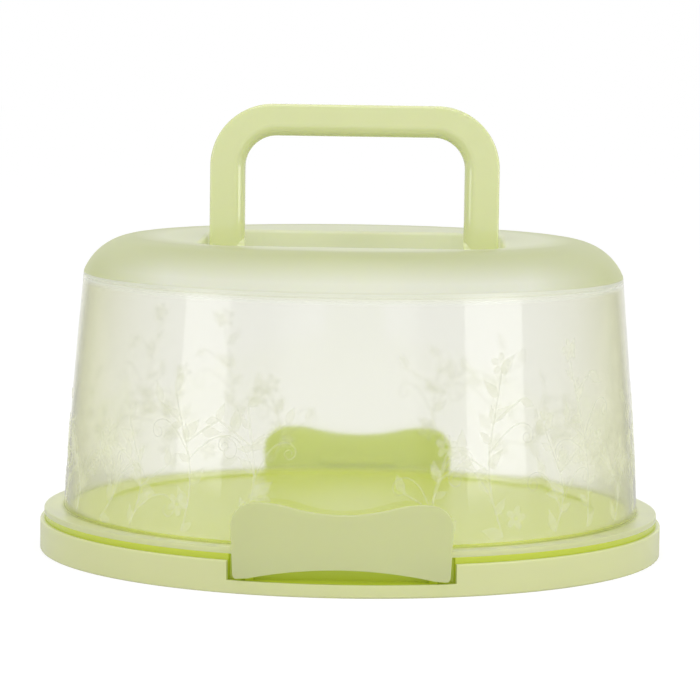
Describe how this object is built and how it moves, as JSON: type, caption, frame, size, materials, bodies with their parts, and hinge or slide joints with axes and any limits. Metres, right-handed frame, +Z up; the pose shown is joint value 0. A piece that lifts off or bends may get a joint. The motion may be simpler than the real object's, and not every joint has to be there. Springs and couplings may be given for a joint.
{
  "type": "round cake carrier",
  "caption": "Round cake carrier: shallow green tray, clear lift-off cover with an opaque cap and folding carrying handle, held by hooked side latches.",
  "frame": {"origin": "centre of the ring that the tray rests on, at the lowest point of the part", "axes": "+Z up; +X to the right along the carrying handle; -Y towards the front latch"},
  "size_m": [0.31, 0.313, 0.2219],
  "materials": {
    "tray_plastic": "semi-gloss moulded plastic, slightly cloudy pale green",
    "clear_plastic": "clear plastic with a faint green tint",
    "cap_plastic": "satin moulded plastic, pale green",
    "handle_plastic": "semi-gloss moulded plastic, yellow-green",
    "latch_plastic": "semi-gloss moulded plastic, pale green"
  },
  "bodies": {
    "base": {"base_tray": "tray_plastic"},
    "cover": {"cover_wall": "clear_plastic", "cover_cap": "cap_plastic"},
    "handle": {"handle": "handle_plastic"},
    "latch_front": {"latch_front": "latch_plastic"},
    "latch_back": {"latch_back": "latch_plastic"}
  },
  "joints": [
    {"name": "cover_lift", "type": "slide", "parent": "base", "child": "cover", "axis": [0, 0, 1], "range_m": [0, 0.18]},
    {"name": "handle_fold", "type": "hinge", "parent": "cover", "child": "handle", "pos_m": [0, 0, 0.149], "axis": [1, 0, 0], "range_deg": [0, 90]},
    {"name": "latch_front_hinge", "type": "hinge", "parent": "base", "child": "latch_front", "pos_m": [0, -0.145, 0.0096], "axis": [1, 0, 0], "range_deg": [0, 18]},
    {"name": "latch_back_hinge", "type": "hinge", "parent": "base", "child": "latch_back", "pos_m": [0, 0.145, 0.0096], "axis": [-1, 0, 0], "range_deg": [0, 18]}
  ]
}
